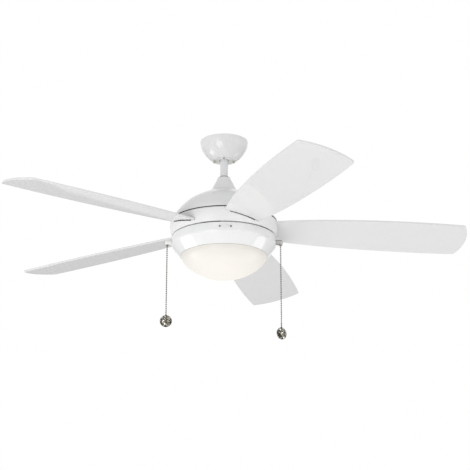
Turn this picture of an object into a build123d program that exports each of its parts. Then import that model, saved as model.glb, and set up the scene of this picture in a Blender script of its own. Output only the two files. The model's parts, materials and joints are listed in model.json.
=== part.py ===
from build123d import *
from math import asin, atan, cos, degrees, pi, radians, sin, tan
import os

# Ceiling fan with a bowl light, hung from a ceiling box by a short rod.
# Millimetres. The origin is the middle of the ceiling plane and +Z is up.
# The fan's pull chain hangs on the -X side and the light's on the +X side.

# Blades
blade_count = 5
sweep_radius = 660.4
blade_thickness = 5.0
blade_pitch = 12.0
first_blade_angle = 3.2
root_radius = 143.0
root_height = -257.1
tip_height = -269.6
tongue_inner = 94.0
tongue_half_width = 36.0
tip_corner_round = 9.0
blade_edge_break = 0.6

# Ceiling bracket, hanger ball and canopy
bracket_sheet = 2.5
bracket_reach = 58.0
bracket_half_width = 24.0
wire_hole_radius = 18.0
leg_half_width = 14.0
leg_top_x = 37.0
leg_bottom_x = 33.0
seat_top = -43.6
seat_radius = 31.0
fork_half_width = 12.4
box_screw_spacing = 88.9
box_slot_width = 5.4
box_slot_length = 13.0
ball_radius = 25.5
ball_below = 23.0
ball_above = 9.0
ball_height = -27.6
canopy_wall = 1.2
canopy_bottom = -54.8
canopy_floor_radius = 30.8
canopy_hole = 13.5
canopy_screw_x = 27.0
canopy_screw_radius = 3.1
canopy_screw_height = 6.6
canopy_vent_x = 21.5
keyway_reach = 28.5
keyway_length = 18.0
keyway_width = 3.2

# Rod, coupling and its cover
rod_radius = 10.65
rod_bore = 8.6
rod_top = -15.6
rod_bottom = -133.6
pin_radius = 3.0
ball_pin_height = -25.6
yoke_pin_height = -121.6
set_screw_radius = 2.5
ball_set_screw_height = -35.6
yoke_set_screw_height = -114.6
yoke_top = -109.6
yoke_radius = 17.0
yoke_flange_radius = 29.5
yoke_flange_top = -139.1
cover_wall = 1.2
cover_top = -107.2
cover_bottom = -147.2
cover_top_radius = 17.2
cover_base_radius = 37.3
grommet_radius = 14.6
grommet_top = -102.0

# Motor
shaft_radius = 9.0
shaft_bore = 5.5
shaft_end_radius = 8.0
shaft_bottom = -289.6
rotor_radius = 88.0
rotor_wall = 3.0
rotor_top = -183.6
rotor_split = -211.6
rotor_bottom = -239.6
rotor_screw_radius = 88.8
stator_radius = 66.0
stator_half_height = 13.0
stator_slots = 12
slot_depth_radius = 42.0
slot_half_width = 4.5
coil_height = 5.0
air_gap = 0.6
bearing_width = 9.0
bearing_inner_edge = 12.0
bearing_outer_edge = 18.0
bearing_radius = 21.0
bearing_ball_count = 7

# Fixed upper housing and rotating blade band
dome_wall = 1.5
housing_top = -145.1
housing_top_radius = 33.6
housing_edge = -235.8
housing_edge_radius = 144.6
edge_lip_radius = 128.0
housing_screw_circle = 24.8
band_top = -238.6
band_bottom = -277.4
band_top_radius = 146.0
band_bottom_radius = 140.6
band_wall = 3.0
web_thickness = 2.5
web_inner = 62.0
boss_inner = 127.0
boss_half_width = 54.0
scoop_top_radius = 143.3
scoop_low_radius = 134.5
scoop_low_height = -267.6
scoop_half_width = 62.0
slot_gap = 1.0
slit_below_blade = 2.1
holder_inner = 71.0
holder_outer = 126.4
holder_foot_end = 90.0
holder_bend_start = 88.0
holder_bend_end = 98.0
holder_half_width = 32.0
holder_plate = 4.0
holder_foot = 6.0
holder_screw_x = 79.0
holder_screw_y = 18.0
blade_screw_places = [(104, -20), (104, 20), (118, 0)]

# Light fitter, switches, lamps and bowl
fitter_top = -280.0
fitter_radius = 140.5
fitter_waist = -303.6
fitter_wall = 1.2
lip_height = -331.6
lip_radius = 117.2
collar_radius = 113.8
collar_top = -319.6
plate_thickness = 2.0
plate_radius = 60.0
fitter_screw_circle = 45.0
bracket_screw_x = 30.0
gasket_height = 0.8
bowl_wall = 3.0
bowl_radius = 115.8
bowl_sphere = 154.0
bowl_break = 97.0
bowl_neck = 112.0
bowl_neck_top = -314.1
bowl_bottom = -392.7
snap_ring_height = 2.0
switch_height = -291.6
switch_half = (15.0, 12.0, 9.5)
switch_middle = 121.0
guide_radius = 7.25
guide_stem_radius = 4.0
guide_tip = 158.6
guide_nose_round = 5.0
chain_x = 152.8
chain_hole_radius = 2.9
chain_headroom = 1.3
bush_seat = 4.5
reverse_angle = 272.0
reverse_height = -292.6
reverse_screw_y = 14.5
reverse_travel = 3.0
reverse_stem_width = 4.0
reverse_stem_height = 3.4
reverse_slot_play = 0.8
reverse_plate = (17.2, 8.0, 1.5)
reverse_plate_gap = 0.4
lamp_height = -337.6
lamp_bracket_x = 16.0
lamp_bracket_sheet = 1.5
lamp_bracket_bottom = -353.1

# Pull chains and crystal fobs
bead_radius = 1.9
bead_pitch = 5.6
link_radius = 0.7
bead_sides = 6
chain_top = -289.4
fan_chain_beads = 35
light_chain_beads = 41
bell_length = 9.0
bell_radius = 3.0
fob_radius = 16.4
fob_half_depth = 9.6
fob_sides = 12
light_fob_turn = 42.0

# Clearances
fit = 0.03
ball_clearance = 0.1
touch_gap = 0.1

droop = degrees(atan((root_height - tip_height) / (sweep_radius - root_radius)))
blade_axis_height = tip_height + sweep_radius * tan(radians(droop))
half_blade = blade_thickness / 2
web_low = rotor_bottom - web_thickness
fitter_underside = fitter_top - fitter_wall
upper_bearing_low = rotor_top - rotor_wall - 1 - bearing_width
lower_bearing_low = rotor_bottom + rotor_wall + 1
dome_points = [
    (housing_top_radius, housing_top), (47.0, -151.1), (61.0, -158.6), (75.3, -166.0), (97.0, -179.0),
    (113.2, -193.0), (126.6, -208.6), (137.2, -222.5), (housing_edge_radius, housing_edge)
]


def disc(radius, low, high):
    """Upright cylinder between two heights."""
    return Pos(0, 0, low) * extrude(Circle(radius), high - low)


def ring(inner, outer, low, high):
    """Upright tube between two heights."""
    return Pos(0, 0, low) * extrude(Circle(outer) - Circle(inner), high - low)


def block(x0, x1, y0, y1, z0, z1):
    """Box given by its limits along each axis."""
    return Pos((x0 + x1) / 2, (y0 + y1) / 2, (z0 + z1) / 2) * Box(x1 - x0, y1 - y0, z1 - z0)


def turned(outline):
    """Solid turned about Z from an outline of radius and height."""
    return revolve(Plane.XZ * outline, Axis.Z)


def turned_polygon(*corners):
    """Solid turned about Z from straight-sided corners of radius and height."""
    return turned(make_face(Polyline(*corners, close=True)))


def skin(points, wall):
    """Thin section inside a smooth line of radius and height that runs from top to bottom."""
    outer = Spline(*points)
    inner_points = []
    for point in points:
        along = outer.tangent_at(Vector(*point))
        inner_points.append(Vector(*point) + Vector(along.Y, -along.X) * wall)
    inner = Spline(*inner_points)
    return make_face([outer, inner, Line(outer @ 0, inner @ 0), Line(outer @ 1, inner @ 1)])


def screw(shank_radius, length, head_radius, head_height):
    """Pan-head screw: shank up from the origin and head below it."""
    head = Pos(0, 0, -head_height) * extrude(Circle(head_radius), head_height)
    head = chamfer(head.edges().sort_by(Axis.Z)[0], min(0.4 * head_height, 0.3 * head_radius))
    return head + extrude(Circle(shank_radius), length)


def drill(place, radius, length):
    """Round hole along the local Z of a place, centred on it."""
    return place * Cylinder(radius, length)


def around(count, start=0.0):
    """Turns about Z that share a circle evenly."""
    return [Rot(0, 0, start + 360.0 / count * k) for k in range(count)]


def blade_turn(k):
    """Turn about Z to blade k, with local X out along the blade."""
    return Rot(0, 0, first_blade_angle + 360.0 / blade_count * k)


def blade_place(k):
    """Drooped and pitched place of blade k: X out along it, Y across it, Z through it."""
    return blade_turn(k) * Pos(0, 0, blade_axis_height) * Rot(0, droop, 0) * Rot(-blade_pitch, 0, 0)


# Ceiling bracket: top strap with slots, two splayed legs and a forked seat for the ball
def make_hanger_bracket():
    plate = Circle(bracket_reach) & Rectangle(2 * bracket_reach, 2 * bracket_half_width)
    for side in (-1, 1):
        plate -= Pos(side * box_screw_spacing / 2, 0) * SlotOverall(box_slot_length, box_slot_width)
    plate -= Circle(wire_hole_radius)
    seat_low = seat_top - bracket_sheet
    outer = make_face(Polyline(
        (-leg_top_x, 0), (-leg_bottom_x, seat_low), (leg_bottom_x, seat_low), (leg_top_x, 0), close=True
    ))
    inner = make_face(Polyline(
        (bracket_sheet - leg_top_x, 0), (bracket_sheet - leg_bottom_x, seat_top),
        (leg_bottom_x - bracket_sheet, seat_top), (leg_top_x - bracket_sheet, 0), close=True
    ))
    legs = extrude(Plane.XZ * (outer - inner), leg_half_width, both=True)
    legs -= block(-80, 80, -80, 80, -bracket_sheet, 1)
    bracket = extrude(plate, -bracket_sheet) + legs + disc(seat_radius, seat_low, seat_top)
    bracket -= Pos(0, 0, ball_height) * Sphere(ball_radius + ball_clearance)
    bracket -= block(-fork_half_width, fork_half_width, 0, 2 * seat_radius, seat_low - 1, seat_top + 1)
    for side in (-1, 1):
        bracket -= drill(Pos(side * canopy_screw_x, 0, seat_low), 2.0 + fit, 8)
    return bracket


# Canopy: a pressed cup that hides the bracket
def make_canopy():
    side = skin([
        (66.0, -0.5), (64.9, -8.5), (63.5, -15.6), (59.1, -25.6), (52.5, -35.6), (43.2, -46.1),
        (canopy_floor_radius, canopy_bottom)
    ], canopy_wall)
    canopy = turned(side)
    canopy += ring(canopy_hole, canopy_floor_radius + 0.4, canopy_bottom, canopy_bottom + canopy_wall)
    for side_sign in (-1, 1):
        canopy -= drill(Pos(side_sign * canopy_screw_x, 0, canopy_bottom), 2.3, 6)
        canopy -= drill(Pos(side_sign * canopy_vent_x, 0, canopy_bottom), 1.3, 6)
    keyway = extrude(Rot(0, 0, 90) * SlotOverall(keyway_length, keyway_width), 6, both=True)
    return canopy - Pos(0, -keyway_reach + keyway_length / 2, canopy_bottom) * keyway


def make_canopy_screws():
    length = seat_top - canopy_bottom + 2
    thumb_screw = screw(2.0, length, canopy_screw_radius, canopy_screw_height)
    return [Pos(side * canopy_screw_x, 0, canopy_bottom) * thumb_screw for side in (-1, 1)]


# Hanger ball, rod and the pins and set screws that lock them
along_x = Rot(0, 90, 0)
along_y = Rot(90, 0, 0)


def make_hanger_ball():
    ball = Pos(0, 0, ball_height) * Sphere(ball_radius)
    ball &= disc(ball_radius, ball_height - ball_below, ball_height + ball_above)
    ball -= disc(rod_radius + fit, ball_height - 40, ball_height + 40)
    ball -= drill(Pos(0, 0, ball_pin_height) * along_y, pin_radius + fit, 80)
    return ball - drill(Pos(30, 0, ball_set_screw_height) * along_x, set_screw_radius + fit, 60)


def make_downrod():
    rod = ring(rod_bore, rod_radius, rod_bottom, rod_top)
    rod -= drill(Pos(0, 0, ball_pin_height) * along_y, pin_radius + fit, 80)
    return rod - drill(Pos(0, 0, yoke_pin_height) * along_x, pin_radius + fit, 80)


def make_ball_pin():
    return drill(Pos(0, 0, ball_pin_height) * along_y, pin_radius, 46)


def make_set_screws():
    ball_screw = Pos(rod_radius, 0, ball_set_screw_height) * along_x
    screws = [ball_screw * extrude(Circle(set_screw_radius), 11)]
    for side in (-1, 1):
        place = Pos(0, side * rod_radius, yoke_set_screw_height) * Rot(-90 * side, 0, 0)
        screws.append(place * extrude(Circle(set_screw_radius), yoke_radius - rod_radius))
    return screws


# Coupling between rod and motor, its cone cover and the rubber grommet
def make_motor_yoke():
    rod_seat = rod_bottom - 0.5
    yoke = turned_polygon(
        (rod_radius + fit, yoke_top), (yoke_radius - 1.6, yoke_top), (yoke_radius, yoke_top - 1.6),
        (yoke_radius, yoke_flange_top + 4), (yoke_radius + 4, yoke_flange_top),
        (yoke_flange_radius, yoke_flange_top), (yoke_flange_radius, housing_top),
        (shaft_radius + fit, housing_top), (shaft_radius + fit, rod_seat), (rod_radius + fit, rod_seat)
    )
    yoke -= drill(Pos(0, 0, yoke_pin_height) * along_x, pin_radius + fit, 80)
    yoke -= drill(Pos(0, 0, yoke_set_screw_height) * along_y, set_screw_radius + fit, 80)
    for turn in around(4, 45):
        yoke -= drill(turn * Pos(housing_screw_circle, 0, housing_top), 2.2, 20)
    return yoke


def make_yoke_pin():
    half = yoke_radius + 1.5
    head = Pos(-half, 0, yoke_pin_height) * Rot(0, -90, 0) * extrude(Circle(pin_radius + 1), 1.6)
    return drill(Pos(0, 0, yoke_pin_height) * along_x, pin_radius, 2 * half) + head


def make_coupling_cover():
    cone = turned_polygon(
        (grommet_radius + fit, cover_top), (cover_top_radius, cover_top), (cover_base_radius, cover_bottom),
        (cover_base_radius - cover_wall, cover_bottom), (cover_top_radius - 0.4, cover_top - 1.8),
        (grommet_radius + fit, cover_top - 1.8)
    )
    under = Polyline(dome_points[-1], (0, housing_edge), (0, housing_top), dome_points[0])
    dome = turned(make_face([Spline(*dome_points)] + list(under.edges())))
    return cone - Pos(0, 0, touch_gap) * dome


def make_cover_grommet():
    inner = rod_radius + fit
    return turned_polygon(
        (inner, cover_top - 2), (grommet_radius, cover_top - 2), (grommet_radius, cover_top),
        (cover_top_radius - 0.1, cover_top), (cover_top_radius - 0.1, cover_top + 0.6),
        (inner + 0.8, grommet_top), (inner, grommet_top)
    )


# Upper housing: the fixed dome above the blades, closed at the top by the plate under the yoke
def make_upper_housing():
    housing = turned(skin(dome_points, dome_wall))
    housing += ring(shaft_radius + fit, housing_top_radius, housing_top - dome_wall, housing_top)
    housing += ring(edge_lip_radius, housing_edge_radius - 1, housing_edge, housing_edge + dome_wall)
    for turn in around(4, 45):
        housing -= drill(turn * Pos(housing_screw_circle, 0, housing_top), 2.2, 10)
    return housing


def make_housing_screws():
    place = Pos(housing_screw_circle, 0, yoke_flange_top) * Rot(180, 0, 0)
    return [turn * place * screw(2.0, 11, 3.5, 2.4) for turn in around(4, 45)]


# Motor: hollow fixed shaft with the stator, outer rotor on two ball bearings
def make_motor_shaft():
    step = fitter_top + plate_thickness
    return turned_polygon(
        (shaft_bore, rod_bottom - 0.5), (shaft_radius, rod_bottom - 0.5), (shaft_radius, step),
        (shaft_end_radius, step), (shaft_end_radius, shaft_bottom), (shaft_bore, shaft_bottom)
    )


def make_stator_core():
    low = rotor_split - stator_half_height
    core = ring(shaft_radius + fit, stator_radius, low, low + 2 * stator_half_height)
    for turn in around(stator_slots):
        core -= turn * block(slot_depth_radius, stator_radius + 2, -slot_half_width, slot_half_width, -400, 0)
    return core


def make_stator_windings():
    low = rotor_split - stator_half_height
    high = rotor_split + stator_half_height
    inner = slot_depth_radius + touch_gap
    outer = stator_radius - 5
    side = slot_half_width - touch_gap
    coils = ring(inner, outer, high + touch_gap, high + coil_height)
    coils += ring(inner, outer, low - coil_height, low - touch_gap)
    for turn in around(stator_slots):
        coils += turn * block(inner + 0.6, outer - 0.6, -side, side, low - 1, high + 1)
    return coils


def make_bearing_races(inner, outer):
    return [ring(inner, outer, low, low + bearing_width) for low in (upper_bearing_low, lower_bearing_low)]


def make_bearing_balls():
    pitch_radius = (bearing_inner_edge + bearing_outer_edge) / 2
    radius = (bearing_outer_edge - bearing_inner_edge) / 2 - 0.05
    balls = []
    for low in (upper_bearing_low, lower_bearing_low):
        for turn in around(bearing_ball_count):
            balls.append(turn * Pos(pitch_radius, 0, low + bearing_width / 2) * Sphere(radius))
    return balls


def rotor_bell(face, bearing_low):
    """Cast end bell: a dished disc with a bearing pocket in its hub, a rim and four screw lugs."""
    inward = 1 if face < rotor_split else -1
    inside = face + inward * rotor_wall
    bell = ring(shaft_radius + 1.5, rotor_radius, *sorted((face, inside)))
    bell += ring(rotor_radius - rotor_wall, rotor_radius, *sorted((inside, rotor_split)))
    bell += ring(bearing_radius + fit, bearing_radius + 4, min(bearing_low, inside),
                 max(bearing_low + bearing_width, inside))
    bell += ring(bearing_outer_edge + 1.5, bearing_radius + 2, *sorted((inside, inside + inward)))
    lug = Pos(rotor_radius, 0, min(face, rotor_split)) * extrude(Circle(5), abs(face - rotor_split))
    lug -= disc(rotor_radius - rotor_wall, -400, 0)
    for turn in around(4, 20):
        bell += turn * lug
    for turn in around(4, 20):
        bell -= drill(turn * Pos(rotor_screw_radius, 0, rotor_split), 2.0 + fit, 100)
    return bell


def holder_screw_turns():
    """Places of the two upright screws of every blade holder, at the ceiling height."""
    pair = [Pos(holder_screw_x, side * holder_screw_y) for side in (-1, 1)]
    return [blade_turn(k) * place for k in range(blade_count) for place in pair]


def make_rotor_lower_shell():
    bell = rotor_bell(rotor_bottom, lower_bearing_low)
    for place in holder_screw_turns():
        bell -= drill(place * Pos(0, 0, rotor_bottom), 2.5 + fit, 12)
    return bell


def make_rotor_cage():
    return ring(stator_radius + air_gap, rotor_radius - rotor_wall - fit, rotor_split - stator_half_height,
                rotor_split + stator_half_height)


def make_rotor_screws():
    place = Pos(rotor_screw_radius, 0, rotor_top) * Rot(180, 0, 0)
    return [turn * place * screw(2.0, rotor_top - rotor_bottom - 1, 3.4, 2.0) for turn in around(4, 20)]


# Rotating band: a web clamped under the rotor, a moulded wall and a thick boss with a slot at each blade
def band_solid(inner, grow=0.0):
    """Turned band out to its visible surface, grown outward by a little for cutting."""
    side = Spline((band_top_radius + grow, band_top - 3), (146.2 + grow, -247.6), (144.2 + grow, -264.1),
                  (band_bottom_radius + grow, band_bottom))
    shoulder = Line((band_top_radius - 2.6 + grow, band_top), (band_top_radius + grow, band_top - 3))
    rest = Polyline((band_bottom_radius + grow, band_bottom), (inner, band_bottom), (inner, band_top),
                    (band_top_radius - 2.6 + grow, band_top))
    return turned(make_face([shoulder, side] + list(rest.edges())))


def make_blade_band():
    hollow = turned_polygon(
        (boss_inner - 1, band_bottom - 1), (band_bottom_radius - band_wall, band_bottom - 1),
        (band_bottom_radius - band_wall, band_bottom), (band_top_radius - band_wall - 1, -257.6),
        (band_top_radius - band_wall, web_low), (boss_inner - 1, web_low)
    )
    for k in range(blade_count):
        hollow -= blade_turn(k) * block(boss_inner - 20, 170, -boss_half_width, boss_half_width, -300, -200)
    band = band_solid(boss_inner) - hollow
    band += ring(web_inner, boss_inner + 1, web_low, rotor_bottom)
    scoop_side = make_face(Polyline(
        (scoop_top_radius, band_top + 1), (scoop_top_radius, band_top - 3),
        (scoop_low_radius, scoop_low_height), (175, scoop_low_height), (175, band_top + 1), close=True
    ))
    scoop = extrude(Plane.XZ * scoop_side, scoop_half_width, both=True)
    for k in range(blade_count):
        half_slot = tongue_half_width + slot_gap
        band -= blade_place(k) * block(boss_inner - 40, 175, -half_slot, half_slot,
                                       -half_blade - slit_below_blade, half_blade + touch_gap)
        above_blade = blade_place(k) * block(0, 175, -80, 80, half_blade + touch_gap, 60)
        band -= blade_turn(k) * scoop & above_blade
    for place in holder_screw_turns():
        band -= drill(place * Pos(0, 0, web_low), 2.5 + fit, 12)
    return band


# Blade holder: a cast foot under the rotor that turns into a pitched plate on the blade's tongue
def make_blade_holder(k):
    half = holder_half_width
    foot = block(holder_inner, holder_foot_end, -half, half, web_low - holder_foot, web_low)
    bend = block(holder_bend_start, holder_bend_end, -half, half, -300, web_low)
    reach = block(holder_bend_start, holder_outer, -half, half, -300, web_low)
    plate_top = half_blade + holder_plate
    arm = blade_turn(k) * bend & blade_place(k) * block(0, 200, -80, 80, half_blade, 80)
    arm += blade_turn(k) * reach & blade_place(k) * block(0, 200, -80, 80, half_blade, plate_top)
    arm += blade_turn(k) * foot
    arm &= disc(holder_outer, -300, -200)
    for side in (-1, 1):
        arm -= drill(blade_turn(k) * Pos(holder_screw_x, side * holder_screw_y, web_low), 2.5 + fit, 30)
    for x, y in blade_screw_places:
        arm -= drill(blade_place(k) * Pos(x, y, half_blade), 2.0 + fit, 60)
    return arm


def make_holder_screws():
    seat = Pos(0, 0, web_low - holder_foot)
    length = holder_foot + web_thickness + rotor_wall
    return [place * seat * screw(2.5, length, 4.4, 2.6) for place in holder_screw_turns()]


# Blade: a paddle with bowed edges and a rounded end, and a tongue through the band's slot
def blade_outline():
    trailing = Spline((120, -46), (180, -57.5), (300, -69.5), (420, -74.5), (540, -73.5), (646, -68))
    end = ThreePointArc((646, -68), (sweep_radius, 4), (642, 80))
    leading = Spline((642, 80), (560, 81.5), (420, 78), (300, 70.5), (200, 59), (120, 45))
    paddle = make_face([trailing, end, leading, Line((120, 45), (120, -46))])
    corners = paddle.vertices().sort_by(Axis.X)[-2:]
    return fillet(corners, tip_corner_round)


def make_blade(k):
    paddle = Pos(0, 0, -half_blade) * extrude(blade_outline(), blade_thickness)
    paddle = chamfer(paddle.faces().filter_by(Axis.Z).edges(), blade_edge_break)
    paddle = blade_place(k) * paddle - band_solid(60, touch_gap)
    half = tongue_half_width
    tongue = block(tongue_inner, root_radius + 12, -half, half, -half_blade, half_blade)
    blade = paddle + blade_place(k) * tongue
    for x, y in blade_screw_places:
        blade -= drill(blade_place(k) * Pos(x, y, 0), 2.3, 30)
    return blade


def make_blade_screws():
    length = blade_thickness + holder_plate
    screws = []
    for k in range(blade_count):
        for x, y in blade_screw_places:
            screws.append(blade_place(k) * Pos(x, y, -half_blade) * screw(2.0, length, 3.8, 1.8))
    return screws


# Light fitter: a spun pan with a sloping skirt, a rolled lip and a collar round the bowl's neck
def make_light_fitter():
    outer = FilletPolyline((0, fitter_top), (fitter_radius, fitter_top), (fitter_radius, fitter_waist),
                           (lip_radius, lip_height), radius=[2.0, 9.0])
    closing = Polyline((lip_radius, lip_height), (0, lip_height), (0, fitter_top))
    pan = turned(make_face(list(outer.edges()) + list(closing.edges())))
    pan = offset(pan, amount=-fitter_wall, openings=pan.faces().sort_by(Axis.Z)[0])
    pan += ring(collar_radius - fitter_wall, lip_radius - 0.9, lip_height, lip_height + fitter_wall)
    pan += ring(collar_radius - fitter_wall, collar_radius, lip_height, collar_top)
    pan -= disc(shaft_end_radius + fit, fitter_underside - 1, fitter_top + 1)
    for place in fitter_screw_places():
        pan -= drill(place * Pos(0, 0, fitter_top), 1.8, 8)
    for side in (0, 180):
        wall = Rot(0, 0, side) * Pos(fitter_radius, 0, switch_height) * along_x
        pan -= drill(wall, guide_stem_radius + fit, 12)
    face = Rot(0, 0, reverse_angle) * Pos(fitter_radius, 0, reverse_height)
    slot_length = reverse_stem_width + 2 * reverse_travel + reverse_slot_play
    slot = Rectangle(slot_length, reverse_stem_height + reverse_slot_play)
    pan -= face * along_x * extrude(Rot(0, 0, 90) * slot, 8, both=True)
    for side in (-1, 1):
        pan -= drill(face * Pos(0, side * reverse_screw_y, 0) * along_x, 1.8, 12)
    return pan


def fitter_screw_places():
    """Upright places of the screws that hold the fitter and the lamp bracket to the plate."""
    ring_places = [turn * Pos(fitter_screw_circle, 0, 0) for turn in around(3, 90)]
    return ring_places + [Pos(s * bracket_screw_x, 0, 0) for s in (-1, 1)]


def make_mounting_plate():
    plate = ring(shaft_end_radius + fit, plate_radius, fitter_top, fitter_top + plate_thickness)
    for place in fitter_screw_places():
        plate -= drill(place * Pos(0, 0, fitter_top), 1.5 + fit, 8)
    return plate


def make_fitter_screws():
    screws = []
    for k, place in enumerate(fitter_screw_places()):
        packing = lamp_bracket_sheet if k > 2 else 0
        seat = Pos(0, 0, fitter_underside - packing)
        screws.append(place * seat * screw(1.5, packing + fitter_wall + plate_thickness, 2.9, 1.6))
    return screws


def make_shaft_nut():
    nut = extrude(RegularPolygon(13.5, 6) - Circle(shaft_end_radius + fit), 6)
    return Pos(0, 0, fitter_underside - 6) * nut


def bowl_solid(inset):
    """Filled bowl below its shoulder: a shallow sphere and a tighter side, drawn in by inset."""
    top = lip_height - gasket_height
    radius = bowl_sphere - inset
    middle = bowl_bottom + bowl_sphere
    lean = asin(bowl_break / bowl_sphere)
    break_point = (radius * sin(lean), middle - radius * cos(lean))
    halfway = (radius * sin(lean / 2), middle - radius * cos(lean / 2))
    bottom = ThreePointArc((0, middle - radius), halfway, break_point)
    side = TangentArc(break_point, (bowl_radius - inset, top), tangent=(cos(lean), sin(lean)))
    closing = Polyline((bowl_radius - inset, top), (0, top), (0, middle - radius))
    return turned(make_face([bottom, side] + list(closing.edges())))


def make_glass_bowl():
    top = lip_height - gasket_height
    bowl = bowl_solid(0) - bowl_solid(bowl_wall)
    bowl += ring(bowl_neck - bowl_wall, bowl_radius - 2, top - bowl_wall, top)
    bowl += ring(bowl_neck - bowl_wall, bowl_neck, top, bowl_neck_top)
    return bowl - ring(bowl_neck - 1.4, bowl_neck + 1, collar_top - fit, collar_top + snap_ring_height + fit)


def make_glass_snap_ring():
    return ring(bowl_neck - 1.3, collar_radius + 1.6, collar_top, collar_top + snap_ring_height)


def make_rim_gasket():
    return ring(bowl_neck + 0.5, bowl_radius + 0.2, lip_height - gasket_height, lip_height)


# Lamp bracket, two lampholders and their lamps
def make_lamp_bracket():
    outer = block(-lamp_bracket_x - lamp_bracket_sheet, lamp_bracket_x + lamp_bracket_sheet, -10, 10,
                  lamp_bracket_bottom, fitter_underside)
    inner = block(-lamp_bracket_x, lamp_bracket_x, -11, 11, lamp_bracket_bottom + lamp_bracket_sheet, 0)
    bracket = outer - inner
    for side in (-1, 1):
        foot = sorted((side * lamp_bracket_x, side * (bracket_screw_x + 8)))
        bracket += block(*foot, -10, 10, fitter_underside - lamp_bracket_sheet, fitter_underside)
    for side in (-1, 1):
        bracket -= drill(Pos(side * bracket_screw_x, 0, fitter_underside), 1.8, 8)
    return bracket


lamp_seat = Pos(lamp_bracket_x + lamp_bracket_sheet, 0, lamp_height) * along_x
lamp_places = [Rot(0, 0, turn) * lamp_seat for turn in (0, 180)]


def make_lampholders():
    holder = turned_polygon((0, 0), (13, 0), (13, 6), (15, 8), (15, 28), (10, 28), (10, 8), (0, 8))
    return [place * holder for place in lamp_places]


def make_lamp_bulbs():
    glass = Spline(
        (10.0, 31.0), (14.0, 38.0), (19.0, 50.0), (16.5, 62.0), (0, 70.0), tangents=[(0.3, 1), (-1, 0)]
    )
    cap = Polyline((0, 70), (0, 8.2), (9.8, 8.2), (9.8, 31), (10, 31))
    bulb = turned(make_face([glass] + list(cap.edges())))
    return [place * bulb for place in lamp_places]


def make_capacitor():
    body = block(-21, 21, 62, 80, fitter_underside - 28, fitter_underside)
    return fillet(body.edges().filter_by(Axis.Z), 3)


# Pull switches, chain guides and the bushes at their mouths
def make_pull_switch(turn):
    half_x, half_y, half_z = switch_half
    body = fillet(Box(2 * half_x, 2 * half_y, 2 * half_z).edges().filter_by(Axis.X), 2.5)
    return Rot(0, 0, turn) * Pos(switch_middle, 0, switch_height) * body


def make_chain_guide(turn):
    root = fitter_radius + touch_gap
    nozzle = disc(guide_radius, root, guide_tip)
    nozzle = fillet(nozzle.edges().sort_by(Axis.Z)[-1], guide_nose_round)
    nozzle += disc(guide_stem_radius, switch_middle + switch_half[0], root)
    guide = Pos(0, 0, switch_height) * along_x * nozzle
    chain_axis = Pos(chain_x, 0, 0)
    guide -= chain_axis * disc(guide_stem_radius + fit, switch_height - 20, switch_height - bush_seat)
    guide -= chain_axis * disc(chain_hole_radius, switch_height - 20, chain_top + chain_headroom)
    return Rot(0, 0, turn) * guide


def make_guide_bushes():
    low = switch_height - guide_radius
    bush = ring(chain_hole_radius, guide_stem_radius, low - 1.2, switch_height - bush_seat - touch_gap)
    bush += ring(chain_hole_radius, guide_stem_radius + 0.9, low - 1.2, low - touch_gap)
    return [Rot(0, 0, turn) * Pos(chain_x, 0, 0) * bush for turn in (0, 180)]


# Bead chain with a bell coupling at its foot
def chain_end(bead_total):
    """Height of the lowest point of a chain's coupling."""
    return chain_top - bead_pitch * bead_total - bell_length


def make_pull_chain(side, bead_total):
    belly = bead_radius * 0.4
    sections = []
    for bead in range(bead_total):
        middle = chain_top - bead_pitch * (bead + 0.5)
        sections += [
            (middle + bead_pitch / 2, link_radius), (middle + bead_radius, link_radius),
            (middle + belly, bead_radius), (middle - belly, bead_radius), (middle - bead_radius, link_radius)
        ]
    bell_top = chain_top - bead_pitch * bead_total
    sections += [
        (bell_top, link_radius), (bell_top - 1.5, bell_radius * 0.8), (bell_top - 5, bell_radius),
        (bell_top - bell_length, bell_radius * 0.7)
    ]
    axis = Pos(side * chain_x, 0, 0)
    rings = [axis * Pos(0, 0, z) * RegularPolygon(radius, bead_sides) for z, radius in sections]
    return loft(rings, ruled=True)


# Crystal fob: a flattened ball of flat facets that meet at a point on each face
def make_fob(side, bead_total, turn):
    step = 2 * pi / fob_sides
    middle_radius = fob_radius * 0.62
    middle_depth = fob_half_depth * 0.72

    def corner(radius, steps, depth):
        return (radius * cos(step * steps), radius * sin(step * steps), depth)

    girdle = [corner(fob_radius, k, 0) for k in range(fob_sides)]
    facets = []
    for face in (1, -1):
        crown = [corner(middle_radius, k + 0.5, face * middle_depth) for k in range(fob_sides)]
        point = (0, 0, face * fob_half_depth)
        for k in range(fob_sides):
            after = (k + 1) % fob_sides
            facets += [(girdle[k], girdle[after], crown[k]), (girdle[after], crown[after], crown[k]),
                       (crown[k], crown[after], point)]
    faces = [make_face(Polyline(*corners, close=True)).face() for corners in facets]
    crystal = Solid(Shell(faces))
    centre = chain_end(bead_total) - fob_radius * cos(step / 2) - touch_gap
    upright = along_y * Rot(0, 0, 90 - degrees(step / 2))
    return Pos(side * chain_x, 0, centre) * Rot(0, 0, turn) * upright * crystal


# Reverse switch on the front of the fitter
reverse_place = Rot(0, 0, reverse_angle) * Pos(0, 0, reverse_height)


def make_reverse_switch_body():
    body = block(124, 137.8, -17.5, 17.5, -6, 6)
    body -= block(132, 140, -8.2, 8.2, -2.6, 2.6)
    for side in (-1, 1):
        body -= drill(Pos(137, side * reverse_screw_y, 0) * along_x, 1.5 + fit, 22)
    return reverse_place * body


def make_reverse_slider():
    length, height, thickness = reverse_plate
    inside = fitter_radius + reverse_plate_gap
    outline = RectangleRounded(length, height, 2.0)
    plate = ring(inside, inside + thickness, -height, height)
    plate &= Pos(inside, 0, 0) * along_x * Rot(0, 0, 90) * extrude(outline, 10, both=True)
    half = reverse_stem_width / 2
    half_height = reverse_stem_height / 2
    stem = block(136.6, inside + thickness / 2, -half, half, -half_height, half_height)
    shoe = block(132.3, 136.6, -4.6, 4.6, -2.2, 2.2)
    return reverse_place * (plate + stem + shoe)


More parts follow.
